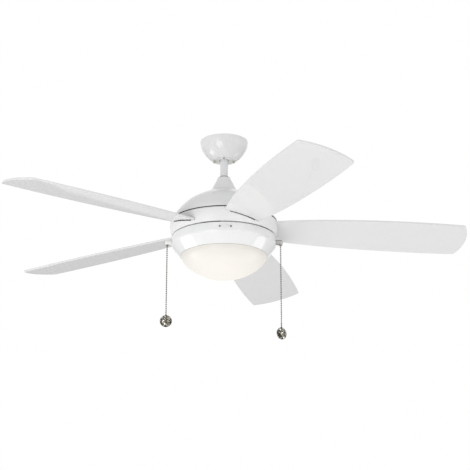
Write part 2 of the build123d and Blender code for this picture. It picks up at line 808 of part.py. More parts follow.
def make_reverse_switch_screws():
    seat = fitter_radius - 0.4
    places = [reverse_place * Pos(seat, s * reverse_screw_y, 0) * Rot(0, -90, 0) for s in (-1, 1)]
    return [place * screw(1.5, 11, 2.4, 1.3) for place in places]


def build_nodes():
    """Every node of the fan by name."""
    nodes = {
        "hanger_bracket": make_hanger_bracket(),
        "canopy": make_canopy(),
        "canopy_screws": make_canopy_screws(),
        "hanger_ball": make_hanger_ball(),
        "downrod": make_downrod(),
        "ball_pin": make_ball_pin(),
        "set_screws": make_set_screws(),
        "motor_yoke": make_motor_yoke(),
        "yoke_pin": make_yoke_pin(),
        "coupling_cover": make_coupling_cover(),
        "cover_grommet": make_cover_grommet(),
        "upper_housing": make_upper_housing(),
        "housing_screws": make_housing_screws(),
        "motor_shaft": make_motor_shaft(),
        "stator_core": make_stator_core(),
        "stator_windings": make_stator_windings(),
        "bearing_inner_races": make_bearing_races(shaft_radius + fit, bearing_inner_edge),
        "bearing_outer_races": make_bearing_races(bearing_outer_edge, bearing_radius),
        "bearing_balls": make_bearing_balls(),
        "rotor_upper_shell": rotor_bell(rotor_top, upper_bearing_low),
        "rotor_lower_shell": make_rotor_lower_shell(),
        "rotor_cage": make_rotor_cage(),
        "rotor_screws": make_rotor_screws(),
        "blade_band": make_blade_band(),
        "holder_screws": make_holder_screws(),
        "blade_screws": make_blade_screws(),
        "mounting_plate": make_mounting_plate(),
        "shaft_nut": make_shaft_nut(),
        "light_fitter": make_light_fitter(),
        "fitter_screws": make_fitter_screws(),
        "glass_bowl": make_glass_bowl(),
        "glass_snap_ring": make_glass_snap_ring(),
        "rim_gasket": make_rim_gasket(),
        "lamp_bracket": make_lamp_bracket(),
        "lampholders": make_lampholders(),
        "lamp_bulbs": make_lamp_bulbs(),
        "capacitor": make_capacitor(),
        "fan_pull_switch": make_pull_switch(180),
        "light_pull_switch": make_pull_switch(0),
        "fan_chain_guide": make_chain_guide(180),
        "light_chain_guide": make_chain_guide(0),
        "guide_bushes": make_guide_bushes(),
        "fan_pull_chain": make_pull_chain(-1, fan_chain_beads),
        "light_pull_chain": make_pull_chain(1, light_chain_beads),
        "fan_fob": make_fob(-1, fan_chain_beads, 0),
        "light_fob": make_fob(1, light_chain_beads, light_fob_turn),
        "reverse_switch_body": make_reverse_switch_body(),
        "reverse_slider": make_reverse_slider(),
        "reverse_switch_screws": make_reverse_switch_screws(),
    }
    for k in range(blade_count):
        nodes[f"blade_{k + 1}"] = make_blade(k)
        nodes[f"blade_holder_{k + 1}"] = make_blade_holder(k)
    return nodes


os.makedirs("parts", exist_ok=True)
for name, solids in build_nodes().items():
    shape = Compound(children=list(solids)) if isinstance(solids, list) else solids
    export_step(shape, f"parts/{name}.step")
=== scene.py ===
import json
import math

import bpy
import numpy as np
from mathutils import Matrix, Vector
from bpy.props import FloatProperty, FloatVectorProperty, IntProperty, PointerProperty

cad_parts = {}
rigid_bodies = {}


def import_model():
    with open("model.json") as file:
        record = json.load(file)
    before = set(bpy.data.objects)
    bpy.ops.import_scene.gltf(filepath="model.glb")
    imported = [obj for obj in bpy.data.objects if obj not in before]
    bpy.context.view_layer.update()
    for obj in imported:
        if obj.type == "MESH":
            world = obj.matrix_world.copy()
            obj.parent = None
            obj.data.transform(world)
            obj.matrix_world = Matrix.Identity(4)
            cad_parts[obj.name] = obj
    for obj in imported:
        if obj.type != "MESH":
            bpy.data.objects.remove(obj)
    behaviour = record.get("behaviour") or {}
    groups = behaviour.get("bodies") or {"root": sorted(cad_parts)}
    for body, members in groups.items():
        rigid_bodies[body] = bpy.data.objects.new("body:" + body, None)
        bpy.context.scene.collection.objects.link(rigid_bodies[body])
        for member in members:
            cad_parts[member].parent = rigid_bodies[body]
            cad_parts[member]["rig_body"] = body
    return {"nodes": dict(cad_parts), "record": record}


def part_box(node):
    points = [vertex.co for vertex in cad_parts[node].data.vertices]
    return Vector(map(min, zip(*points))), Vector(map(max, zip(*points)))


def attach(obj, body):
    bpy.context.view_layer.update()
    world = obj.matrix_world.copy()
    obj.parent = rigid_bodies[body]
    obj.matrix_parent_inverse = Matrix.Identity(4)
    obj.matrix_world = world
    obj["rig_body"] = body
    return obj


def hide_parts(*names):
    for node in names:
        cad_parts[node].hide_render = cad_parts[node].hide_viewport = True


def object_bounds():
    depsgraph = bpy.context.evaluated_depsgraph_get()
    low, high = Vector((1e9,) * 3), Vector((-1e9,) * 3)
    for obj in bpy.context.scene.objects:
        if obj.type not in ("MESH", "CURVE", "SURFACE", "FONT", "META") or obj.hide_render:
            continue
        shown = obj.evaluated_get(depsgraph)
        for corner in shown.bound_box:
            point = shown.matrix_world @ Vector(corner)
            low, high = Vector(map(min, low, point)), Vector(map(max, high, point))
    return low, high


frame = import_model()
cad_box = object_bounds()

bl_info = {
    "name": "Ceiling Fan With Light",
    "version": (1, 0, 0),
    "blender": (4, 5, 0),
    "location": "3D View > Sidebar > Ceiling Fan",
    "description": "Finishes a five-blade ceiling fan with a lit bowl and two bead chains",
    "category": "Object",
}

MM = 0.001
BLADE_COUNT = 5
WHITE = (1.0, 1.0, 1.0)

# Sides round a chain and a bell, rings on one bead, and steps along one span of a chain's route
CHAIN_SIDES = 14
BELL_SIDES = 24
BEAD_RINGS = 9
ROUTE_STEPS = 48

# A crystal facet's painted share of reflected light: gain times a random number to a power, less a painted
# rim shade outside a start
FACET_SEED = 11
FACET_GAIN = 1.1
FACET_POWER = 1.5
RIM_SHADE_START = 0.7
RIM_SHADE_SLOPE = 0.5

# Corners of a CAD mesh that agree to so many decimals of a metre are one
MERGE_DECIMALS = 6

# Numbers of a Mix node's sockets for colours
MIX_FACTOR = 0
MIX_A = 6
MIX_B = 7
MIX_RESULT = 2

# Width of the camera's film in millimetres
FILM_WIDTH = 36.0

# The record's slot of every CAD node
SLOTS = {part["node"]: part["material_slot"] for part in frame["record"]["subparts"]}

# Soft boxes round the fan: name, azimuth and elevation in degrees, width and height in metres, watts
LAMP_DISTANCE = 3.0
SOFT_BOXES = (
    ("low_left_box", -27, -31, (1.5, 1.5), 21.5),
    ("low_right_box", 27, -31, (0.45, 1.0), 7.0),
    ("far_right_box", 67, -32, (2.4, 2.4), 6.5),
    ("far_left_box", -67, -32, (2.4, 2.4), 10.5),
    ("level_left_box", -35, -4, (1.4, 1.4), 6.5),
    ("right_strip_box", 33, -4, (0.4, 0.8), 3.0),
    ("level_right_box", 65, -4, (1.6, 1.6), 6.0),
    ("high_left_box", -45, 55, (1.2, 1.2), 4.8),
    ("high_right_box", 45, 55, (1.2, 1.2), 6.5),
    ("left_side_box", -105, -35.5, (1.4, 1.15), 16.5),
    ("right_side_box", 109, -36.5, (1.3, 1.05), 12.0),
)

# Route of each chain's middle line, from inside its bush down to its bell, in metres
FAN_CHAIN_ROUTE = [(-0.1528, 0.0, -0.2894), (-0.1528, 0.0, -0.3880), (-0.1528, 0.0, -0.4854)]
LIGHT_CHAIN_ROUTE = [(0.1528, 0.0, -0.2894), (0.1528, 0.0, -0.4050), (0.1528, 0.0, -0.5190)]


def length_setting(name, description, default):
    """Setting for a length in metres."""
    return FloatProperty(name=name, description=description, default=default, unit="LENGTH", precision=5)


def angle_setting(name, description, degrees):
    """Setting for an angle, given in degrees."""
    return FloatProperty(name=name, description=description, default=math.radians(degrees), subtype="ANGLE")


def number_setting(name, description, default):
    """Setting for a plain number that isn't below zero."""
    return FloatProperty(name=name, description=description, default=default, min=0.0)


def colour_setting(name, description, default):
    """Setting for a linear colour."""
    return FloatVectorProperty(name=name, description=description, default=default, subtype="COLOR", size=3)


class FanSizes(bpy.types.PropertyGroup):
    """Sizes of the pieces and patterns that are worked out here."""

    sharp_angle: angle_setting("Sharp angle", "Edges that turn by more than this stay sharp", 32.0)
    # Painted shade: the dome turns dark inside this radius and below this height, where the gap over the
    # band lies in shade
    gap_shade_radius: length_setting("Seam radius", "The dome is bare inside this radius", 143.7 * MM)
    gap_shade_height: length_setting("Seam height", "The dome is bare there below this height", -234.0 * MM)
    # Painted shade: a blade is dark inside this radius, where its root lies in the shade of the band's slot
    root_shade_radius: length_setting("Blade root", "A blade is dark inside this radius", 144.9 * MM)
    bead_radius: length_setting("Bead radius", "Radius of one bead of a pull chain", 2.0 * MM)
    bead_pitch: length_setting("Bead pitch", "Distance from bead to bead", 6.0 * MM)
    link_radius: length_setting("Link radius", "Radius of the wire between two beads", 0.4 * MM)
    bell_length: length_setting("Bell length", "Length of the coupling at a chain's foot", 9.0 * MM)
    bell_radius: length_setting("Bell radius", "Largest radius of the coupling", 2.3 * MM)
    fob_radius: length_setting("Fob radius", "Radius of a crystal fob across its face", 16.2 * MM)
    fob_depth: length_setting("Fob depth", "Half the depth of a crystal fob", 9.5 * MM)
    fob_sides: IntProperty(
        name="Fob sides", description="Facets round a crystal fob", default=16, min=6, max=24
    )
    light_fob_turn: angle_setting("Light fob turn", "Turn of the light's fob about its chain", 42.0)


class FanColours(bpy.types.PropertyGroup):
    """Colours of the finishes, as linear values."""

    enamel: colour_setting("Enamel", "Gloss paint of the fixed outer pieces", (0.836, 0.838, 0.84))
    band: colour_setting("Band", "Satin paint of the turning band", (0.83, 0.83, 0.83))
    # Painted shade: dark colour for the dome's lip in the gap over the band and for the blade roots in the
    # band's slots, where there is only shade
    seam: colour_setting("Seam", "Bare edge inside the gap under the dome", (0.03, 0.03, 0.03))
    blade: colour_setting("Blade", "Satin laminate of the blades", (0.78, 0.78, 0.78))
    moulding: colour_setting("Moulding", "Plastic of the switch's knob and the ball", (0.80, 0.80, 0.80))
    opal: colour_setting("Opal", "Opal glass of the bowl", (0.40, 0.39, 0.38))
    glow: colour_setting("Glow", "Light that comes through the opal glass", (1.0, 0.955, 0.87))
    nickel: colour_setting("Nickel", "Plating of the chains", (0.15, 0.14, 0.12))
    # The light's chain guide gets grey satin metal, darker than the fan's white guide
    guide_grey: colour_setting("Satin nickel", "Plating of the light's chain guide", (0.50, 0.50, 0.49))
    # Painted reflections of the crystal facets, from dark to pale
    facet_dark: colour_setting("Dark facet", "Facets that look into the dark", (0.03, 0.028, 0.022))
    facet_tan: colour_setting("Tan facet", "Facets between dark and bright", (0.20, 0.185, 0.145))
    facet_pale: colour_setting("Pale facet", "Facets that catch the light", (0.46, 0.44, 0.39))
    tan_metal: colour_setting("Tan metal", "Plating of canopy screws and bushes", (0.56, 0.52, 0.43))
    dark_tan: colour_setting("Dark tan", "Plating of the reverse switch's screws", (0.20, 0.185, 0.155))
    tan_rubber: colour_setting("Tan rubber", "Rubber of the grommet and the gasket", (0.42, 0.38, 0.31))
    zinc: colour_setting("Zinc", "Plated steel of the bracket and hidden hardware", (0.52, 0.53, 0.54))
    casting: colour_setting("Casting", "Die-cast rotor shells, yoke and blade holders", (0.45, 0.46, 0.47))
    sheet_steel: colour_setting("Sheet steel", "Stacked sheets of the motor", (0.12, 0.12, 0.125))
    copper: colour_setting("Copper", "Wire of the motor's windings", (0.5, 0.22, 0.09))
    porcelain: colour_setting("Porcelain", "Glaze of the lampholders", (0.8, 0.78, 0.73))
    frosted_lamp: colour_setting("Frosted lamp", "Glass of the lamps in the bowl", (0.9, 0.86, 0.78))
    black_moulding: colour_setting("Black moulding", "Plastic of switches and capacitor", (0.02, 0.02, 0.02))
    glow_strength: number_setting("Glow strength", "Strength of the light through the opal glass", 0.56)


class FanStage(bpy.types.PropertyGroup):
    """Camera, lamps and floor."""

    eye: FloatVectorProperty(
        name="Eye", description="Place of the camera", default=(0.0300, -3.4284, -1.4278), unit="LENGTH"
    )
    look_up: angle_setting("Look up", "Camera's angle above the horizon", 18.66)
    lens: FloatProperty(name="Lens", description="Camera's focal length", default=102.60, unit="CAMERA")
    floor_height: length_setting("Floor height", "Height of the floor under the fan", -2.6)
    sweep_rise: length_setting("Sweep rise", "Height by which the floor sweeps up far behind the fan", 2.95)
    floor_dark: colour_setting("Dark floor", "Darker patches of the floor", (0.86, 0.86, 0.86))
    floor_pale: colour_setting("Pale floor", "Paler patches of the floor", (0.9, 0.9, 0.9))
    fill_light: number_setting("Fill light", "Strength of the even light all round", 0.51)
    lamp_level: number_setting("Lamp level", "Factor on every soft box", 0.97)


class Value:
    """One socket's value in a finish: arithmetic on it adds Math nodes."""

    def __init__(self, finish, socket):
        self.finish = finish
        self.socket = socket

    def _math(self, operation, first, second):
        """A Math node on two values."""
        return self.finish.node("ShaderNodeMath", {"operation": operation}, {0: first, 1: second})

    def __add__(self, other):
        return self._math("ADD", self, other)

    def __radd__(self, other):
        return self._math("ADD", other, self)

    def __sub__(self, other):
        return self._math("SUBTRACT", self, other)

    def __rsub__(self, other):
        return self._math("SUBTRACT", other, self)

    def __mul__(self, other):
        return self._math("MULTIPLY", self, other)

    def __rmul__(self, other):
        return self._math("MULTIPLY", other, self)

    def __pow__(self, other):
        return self._math("POWER", self, other)

    def __rpow__(self, other):
        return self._math("POWER", other, self)

    def below(self, limit):
        """1 where the value is less than a limit, else 0."""
        return self._math("LESS_THAN", self, limit)

    def larger(self, other):
        """The larger of two values."""
        return self._math("MAXIMUM", self, other)


class Finish:
    """A material or world under work: node() adds one node, sets it and links it."""

    def __init__(self, owner):
        owner.use_nodes = True
        self.owner = owner
        self.tree = owner.node_tree
        self.tree.nodes.clear()

    def node(self, kind, settings=None, sockets=None, output=0):
        """Adds a node of a type: its settings or a ramp's stops first, then its sockets' values or links."""
        made = self.tree.nodes.new(kind)
        for name, value in (settings or {}).items():
            if name == "stops":
                ramp = made.color_ramp.elements
                while len(ramp) < len(value):
                    ramp.new(1.0)
                for stop, (place, colour) in zip(ramp, value):
                    stop.position = place
                    stop.color = (*colour, 1.0)
            else:
                setattr(made, name, value)
        for name, value in (sockets or {}).items():
            if isinstance(value, Value):
                self.tree.links.new(value.socket, made.inputs[name])
            else:
                made.inputs[name].default_value = value
        return Value(self, made.outputs[output])

    def place(self):
        """The piece's own coordinates, in metres."""
        return self.node("ShaderNodeTexCoord", output="Object")

    def from_axis(self):
        """Distance from the fan's axis, and height, in metres."""
        split = self.node("ShaderNodeSeparateXYZ", None, {0: self.place()}).socket.node
        x, y, z = (Value(self, socket) for socket in split.outputs)
        return (x * x + y * y) ** 0.5, z

    def noise(self, scale, detail=2.0):
        """Noise between 0 and 1, of so many cells to the metre."""
        sockets = {"Vector": self.place(), "Scale": scale, "Detail": detail}
        return self.node("ShaderNodeTexNoise", None, sockets)

    def blend(self, factor, first, second):
        """Colour between two others."""
        sockets = {MIX_FACTOR: factor, MIX_A: colour4(first), MIX_B: colour4(second)}
        return self.node("ShaderNodeMix", {"data_type": "RGBA"}, sockets, MIX_RESULT)

    def mottled(self, noise, colour, least, most):
        """A colour whose brightness goes between two factors with a noise."""
        return self.blend(noise, scaled(colour, least), scaled(colour, most))

    def bump(self, height, distance, strength):
        """Normal of a surface raised by a height between 0 and 1, times a distance in metres."""
        sockets = {"Height": height, "Distance": distance, "Strength": strength}
        return self.node("ShaderNodeBump", None, sockets)

    def principled(self, **sockets):
        """The finish's shader, put into its output. Sockets are named with underscores."""
        named = {name.replace("_", " "): value for name, value in sockets.items()}
        shader = self.node("ShaderNodeBsdfPrincipled", None, named, "BSDF")
        return self.output(shader)

    def output(self, shader, kind="ShaderNodeOutputMaterial"):
        """The material or world, with a shader on its surface."""
        made = self.tree.nodes.new(kind)
        self.tree.links.new(shader.socket, made.inputs["Surface"])
        return self.owner


def colour4(colour):
    """A colour with its alpha, or a link as it is."""
    return colour if isinstance(colour, Value) else (*colour[:3], 1.0)


def scaled(colour, factor):
    """A colour times a number."""
    return tuple(min(1.0, part * factor) for part in colour)


def finish_named(name):
    """A new material under work."""
    return Finish(bpy.data.materials.new(name))


def enamel(name, colour, roughness, seam=None):
    """White enamel: faint orange peel, slightly greyer in broad patches, and painted shade inside the gap
    under the dome.

    The painted gap shade is a dark colour, a radius and a height: inside the one and below the other, the
    dark shows."""
    finish = finish_named(name)
    patches = finish.noise(9.0, detail=3.0)
    peel = finish.noise(900.0)
    base = finish.mottled(patches, colour, 0.985, 1.01)
    # Painted shade: the lip inside the gap under the dome is coloured dark, for the shade there
    if seam:
        dark, radius, height = seam
        out, up = finish.from_axis()
        inside = out.below(radius) * up.below(height)
        base = finish.blend(inside, base, dark)
    return finish.principled(
        Base_Color=base, Roughness=roughness + 0.05 * patches, IOR=1.5,
        Normal=finish.bump(peel, 0.01 * MM, 0.3),
    )


def satin_laminate(colours, sizes):
    """Satin white laminate with faint clouds and a fine tooth, with painted shade where the root lies inside
    the band.
    """
    finish = finish_named("satin_laminate")
    tooth = finish.noise(1400.0)
    cloud = finish.noise(14.0, detail=3.0)
    # Painted shade on the blade's root inside the band's slot
    root = finish.from_axis()[0].below(sizes.root_shade_radius)
    base = finish.mottled(cloud, colours.blade, 0.985, 1.01)
    return finish.principled(
        Base_Color=finish.blend(root, base, colours.seam), Roughness=0.03 + 0.03 * cloud, IOR=1.5,
        Normal=finish.bump(tooth, 0.01 * MM, 0.2),
    )


def moulded_plastic(colours):
    """Moulded white plastic with a soft sheen."""
    finish = finish_named("moulded_plastic")
    tooth = finish.noise(2200.0)
    base = finish.mottled(tooth, colours.moulding, 0.96, 1.02)
    return finish.principled(
        Base_Color=base, Roughness=0.3 + 0.1 * tooth, Normal=finish.bump(tooth, 0.02 * MM, 0.4)
    )


def opal_glass(colours):
    """Opal glass lit from inside: brightest low down in the middle and dimmer towards its rim."""
    finish = finish_named("opal_glass")
    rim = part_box("glass_bowl")[1].x
    out = finish.from_axis()[0] * (1.0 / rim)
    cloud = finish.noise(30.0, detail=3.0)
    stops = [(0.0, 1.0), (0.5, 0.97), (0.8, 0.9), (0.95, 0.79), (1.0, 0.66)]
    shade = finish.node(
        "ShaderNodeValToRGB", {"stops": [(place, scaled(colours.glow, share)) for place, share in stops]},
        {"Fac": out + 0.02 * cloud},
    )
    base = finish.mottled(cloud, colours.opal, 0.97, 1.0)
    return finish.principled(
        Base_Color=base, Roughness=0.35 + 0.05 * cloud,
        Emission_Color=shade, Emission_Strength=colours.glow_strength,
    )


def plated_metal(name, colour, roughness, grain):
    """Plated metal with fine speckle in its gloss."""
    finish = finish_named(name)
    speckle = finish.noise(grain, detail=3.0)
    base = finish.mottled(speckle, colour, 0.85, 1.1)
    return finish.principled(Base_Color=base, Metallic=1.0, Roughness=roughness + 0.15 * speckle)


def cut_crystal(colours):
    """Cut crystal with a silvered back: each facet's colour is its own painted share of reflected light."""
    finish = finish_named("cut_crystal")
    share = finish.node("ShaderNodeAttribute", {"attribute_name": "facet"}, output="Fac")
    cloud = finish.noise(300.0)
    # Painted reflections: each facet's colour runs from dark to white with its painted share of light
    stops = [(0.0, colours.facet_dark), (0.4, colours.facet_tan), (0.8, colours.facet_pale), (1.0, WHITE)]
    base = finish.node("ShaderNodeValToRGB", {"stops": stops}, {"Fac": share + 0.1 * cloud - 0.05})
    return finish.principled(Base_Color=base, Metallic=1.0, Roughness=0.12 + 0.06 * cloud)


def soft_rubber(colours):
    """Soft tan rubber, matt with a fine tooth."""
    finish = finish_named("soft_rubber")
    tooth = finish.noise(1800.0)
    base = finish.mottled(tooth, colours.tan_rubber, 0.9, 1.08)
    return finish.principled(
        Base_Color=base, Roughness=0.6 + 0.15 * tooth, Normal=finish.bump(tooth, 0.03 * MM, 0.5)
    )


def dull(name, colour, roughness, grain):
    """Dull moulded or pressed material with a mottled colour."""
    finish = finish_named(name)
    mottle = finish.noise(grain, detail=3.0)
    base = finish.mottled(mottle, colour, 0.85, 1.1)
    return finish.principled(Base_Color=base, Roughness=roughness + 0.1 * mottle)


FINISHES = {}


def mix_finishes(colours, sizes):
    """Every finish by the record's slot, and the variants that some pieces of a slot have."""
    # Painted shade for the gap between the dome and the band
    seam = (colours.seam, sizes.gap_shade_radius, sizes.gap_shade_height)
    FINISHES.update(
        white_paint=enamel("gloss_enamel", colours.enamel, 0.05),
        dome_paint=enamel("dome_enamel", colours.enamel, 0.14, seam),
        band_paint=enamel("band_enamel", colours.band, 0.24),
        guide_nickel=plated_metal("guide_grey", colours.guide_grey, 0.3, 900.0),
        blade_white=satin_laminate(colours, sizes),
        white_plastic=moulded_plastic(colours),
        opal_glass=opal_glass(colours),
        nickel=plated_metal("bright_nickel", colours.nickel, 0.18, 900.0),
        crystal=cut_crystal(colours),
        tan_screw=plated_metal("tan_plate", colours.tan_metal, 0.3, 1200.0),
        switch_tan=plated_metal("dark_tan_plate", colours.dark_tan, 0.3, 1200.0),
        tan_rubber=soft_rubber(colours),
        zinc_steel=plated_metal("zinc_plate", colours.zinc, 0.35, 500.0),
        cast_metal=plated_metal("die_casting", colours.casting, 0.5, 400.0),
        lamination=plated_metal("stacked_steel", colours.sheet_steel, 0.5, 600.0),
        copper=plated_metal("copper_wire", colours.copper, 0.35, 700.0),
        porcelain=dull("glazed_porcelain", colours.porcelain, 0.2, 60.0),
        lamp_glass=dull("frosted_lamp", colours.frosted_lamp, 0.4, 200.0),
        black_plastic=dull("black_moulding", colours.black_moulding, 0.45, 800.0),
    )


def set_finish(obj, slot):
    """Puts one finish on the whole of a piece."""
    obj.data.materials.clear()
    obj.data.materials.append(FINISHES[slot])


def grid_faces(rows, columns):
    """Quads of a grid of points whose columns close round."""
    row = np.arange(rows - 1)[:, None] * columns
    column = np.arange(columns)[None, :]
    after = (column + 1) % columns
    corners = [row + column, row + after, row + columns + after, row + columns + column]
    return np.stack(corners, axis=-1).reshape(-1, 4)


def make_piece(name, points, faces, slot, body, nodes=(), finish=None, smooth=True):
    """Mesh piece in its place, in its slot's finish or a variant, riding on a body instead of CAD nodes."""
    mesh = bpy.data.meshes.new(name)
    mesh.from_pydata(points.tolist(), [], [list(face) for face in faces])
    mesh.validate()
    mesh.polygons.foreach_set("use_smooth", np.full(len(mesh.polygons), smooth))
    mesh.set_sharp_from_angle(angle=bpy.context.scene.fan_sizes.sharp_angle)
    mesh.update()
    obj = bpy.data.objects.new(name, mesh)
    bpy.context.scene.collection.objects.link(obj)
    set_finish(obj, finish or slot)
    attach(obj, body)
    if nodes:
        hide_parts(*nodes)
    return obj


def body_of(node):
    """The body that a CAD node rides on."""
    return frame["nodes"][node]["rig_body"]


def merged(node):
    """Points and triangles of a CAD node with its equal corners merged."""
    mesh = frame["nodes"][node].data
    places = np.zeros(len(mesh.vertices) * 3)
    mesh.vertices.foreach_get("co", places)
    mesh.calc_loop_triangles()
    corners = np.zeros(len(mesh.loop_triangles) * 3, np.int32)
    mesh.loop_triangles.foreach_get("vertices", corners)
    points, number = np.unique(
        np.round(places.reshape(-1, 3), MERGE_DECIMALS), axis=0, return_inverse=True
    )
    faces = number.reshape(-1)[corners].reshape(-1, 3)
    whole = (faces != np.roll(faces, 1, axis=1)).all(axis=1)
    return points, faces[whole]


def make_shell(node, finish=None):
    """Smooth copy of a CAD node: equal corners merged, soft over curves and sharp at edges."""
    points, faces = merged(node)
    return make_piece(node + "_shell", points, faces.tolist(), SLOTS[node], body_of(node), [node], finish)


def spline_points(name, route):
    """Points along the smooth spline that has a route's points as its control points."""
    curve = bpy.data.curves.new(name, "CURVE")
    curve.dimensions = "3D"
    curve.resolution_u = ROUTE_STEPS
    spline = curve.splines.new("NURBS")
    spline.points.add(len(route) - 1)
    spline.points.foreach_set("co", np.append(np.array(route), np.ones((len(route), 1)), axis=1).ravel())
    spline.order_u = 3
    spline.use_endpoint_u = True
    holder = bpy.data.objects.new(name, curve)
    bpy.context.scene.collection.objects.link(holder)
    line = bpy.data.meshes.new_from_object(holder)
    found = np.zeros(len(line.vertices) * 3)
    line.vertices.foreach_get("co", found)
    bpy.data.objects.remove(holder)
    bpy.data.curves.remove(curve)
    bpy.data.meshes.remove(line)
    return found.reshape(-1, 3)


def tube_along(line, stations, radii, sides):
    """Round profile carried along a line: a ring of each radius at each length, closed at both ends.

    A ring's point is the line's point + radius (cos a X + sin a Y), with X and Y square to the line."""
    steps = np.linalg.norm(np.diff(line, axis=0), axis=1)
    along = np.append(0.0, np.cumsum(steps))
    centres = np.stack([np.interp(stations, along, line[:, k]) for k in range(3)], axis=1)
    slope = np.gradient(line, along, axis=0)
    tangent = np.stack([np.interp(stations, along, slope[:, k]) for k in range(3)], axis=1)
    tangent /= np.linalg.norm(tangent, axis=1)[:, None]
    across = np.cross(tangent, [0.0, 1.0, 0.0])
    across /= np.linalg.norm(across, axis=1)[:, None]
    beside = np.cross(tangent, across)
    angle = np.linspace(0.0, 2 * np.pi, sides, endpoint=False)[None, :, None]
    rings = centres[:, None, :] + radii[:, None, None] * (
        np.cos(angle) * across[:, None, :] + np.sin(angle) * beside[:, None, :]
    )
    count = len(stations)
    points = np.concatenate([rings.reshape(-1, 3), centres[:1], centres[-1:]])
    first = np.arange(sides)
    after = (first + 1) % sides
    last = (count - 1) * sides
    quads = grid_faces(count, sides)[:, ::-1].tolist()
    start = np.stack([np.full(sides, count * sides), first, after], axis=1)[:, ::-1].tolist()
    end = np.stack([np.full(sides, count * sides + 1), last + after, last + first], axis=1)[:, ::-1].tolist()
    return points, quads + start + end


def bead_profile(length, sizes):
    """Lengths along a chain and its radius there: a ball at each pitch and a thin link between two balls.

    On a ball of radius R the chain's radius is R sin t at the length R cos t short of the ball's middle."""
    count = int(round(length / sizes.bead_pitch))
    half_angle = math.asin(sizes.link_radius / sizes.bead_radius)
    turn = np.linspace(half_angle, np.pi - half_angle, BEAD_RINGS)
    middle = (np.arange(count) + 0.5)[:, None] * (length / count)
    stations = (middle - sizes.bead_radius * np.cos(turn)[None, :]).ravel()
    radii = np.tile(sizes.bead_radius * np.sin(turn), count)
    stations = np.concatenate([[0.0], stations, [length]])
    return stations, np.concatenate([[sizes.link_radius], radii, [sizes.link_radius]])


def make_chain(name, route, body):
    """Bead chain with its bell: beads threaded on the route's spline."""
    sizes = bpy.context.scene.fan_sizes
    line = spline_points(name + "_line", route)
    length = float(np.linalg.norm(np.diff(line, axis=0), axis=1).sum())
    stations, radii = bead_profile(length, sizes)
    points, faces = tube_along(line, stations, radii, CHAIN_SIDES)
    chain = make_piece(name + "_beads", points, faces, "nickel", body, [name])
    bell = make_bell(name + "_bell", line[-1], body)
    return chain


def make_bell(name, top, body):
    """Turned coupling under a chain: a last ball, a neck and a cap on the fob.

    Its radius at a share of its length is that share's swell times its largest radius."""
    sizes = bpy.context.scene.fan_sizes
    share = np.array([0.0, 0.04, 0.12, 0.22, 0.32, 0.42, 0.50, 0.58, 0.66, 0.74, 0.86, 0.96, 1.0])
    swell = np.array([0.32, 0.52, 0.74, 0.82, 0.74, 0.52, 0.36, 0.34, 0.44, 0.72, 0.96, 1.0, 0.8])
    line = np.array([top, top - np.array([0.0, 0.0, sizes.bell_length])])
    points, faces = tube_along(line, share * sizes.bell_length, swell * sizes.bell_radius, BELL_SIDES)
    return make_piece(name, points, faces, "nickel", body)


def faceted_ball(radius, depth, sides):
    """Flattened ball of flat facets, with a point at the front and one at the back.

    A ring at the polar angle p from the front has the points (r sin p cos a, -depth cos p, r sin p sin a),
    with r the ball's radius. Every other ring is turned by half a side."""
    polar = np.radians([15.0, 30.0, 46.0, 62.0, 77.0, 90.0, 103.0, 118.0, 134.0, 150.0, 165.0])[:, None]
    ring = np.arange(len(polar))[:, None]
    angle = (np.arange(sides)[None, :] + 0.5 * (ring % 2)) * (2 * np.pi / sides)
    depths = np.broadcast_to(-depth * np.cos(polar), angle.shape)
    out = radius * np.sin(polar)
    rings = np.stack([out * np.cos(angle), depths, out * np.sin(angle)], axis=-1)
    points = np.concatenate([rings.reshape(-1, 3), [[0.0, -depth, 0.0], [0.0, depth, 0.0]]])
    here = (ring * sides + np.arange(sides))[:-1]
    after = (ring * sides + (np.arange(sides) + 1) % sides)[:-1]
    even = ring[:-1] % 2 == 0
    first = np.stack(
        [here, np.where(even, here, after) + sides, np.where(even, after, here + sides)], axis=-1
    )
    second = np.stack([here + sides * even, after + sides, after], axis=-1)
    side = np.arange(sides)
    last = (len(polar) - 1) * sides
    front = np.stack([np.full(sides, len(points) - 2), side, (side + 1) % sides], axis=-1)
    back = np.stack([np.full(sides, len(points) - 1), last + (side + 1) % sides, last + side], axis=-1)
    return points, np.concatenate([first.reshape(-1, 3), second.reshape(-1, 3), front, back])


def make_fob(node, turn):
    """Crystal fob in a CAD fob's place, turned about its chain, with a painted share of reflected light for
    each facet.

    A facet's share is gain r^power - slope max(d - start, 0), from 0 to 1, with r random and d the facet's
    distance from the fob's middle in radii: a random painted glint less painted shade towards the rim."""
    sizes = bpy.context.scene.fan_sizes
    low, high = (np.array(corner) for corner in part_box(node))
    middle = (low + high) / 2
    points, faces = faceted_ball(sizes.fob_radius, sizes.fob_depth, sizes.fob_sides)
    cos, sin = math.cos(turn), math.sin(turn)
    points = points @ np.array([[cos, sin, 0.0], [-sin, cos, 0.0], [0.0, 0.0, 1.0]]) + middle
    fob = make_piece(
        node + "_crystal", points, faces.tolist(), "crystal", body_of(node), [node], smooth=False
    )
    # Painted glints at random, less painted shade towards the fob's rim
    distance = np.linalg.norm(points[faces].mean(axis=1) - middle, axis=1) / sizes.fob_radius
    rim_shade = RIM_SHADE_SLOPE * np.clip(distance - RIM_SHADE_START, 0.0, 1.0)
    glint = FACET_GAIN * np.random.default_rng(FACET_SEED).random(len(faces)) ** FACET_POWER
    share = np.clip(glint - rim_shade, 0.0, 1.0)
    fob.data.attributes.new("facet", "FLOAT", "FACE").data.foreach_set("value", share)
    return fob


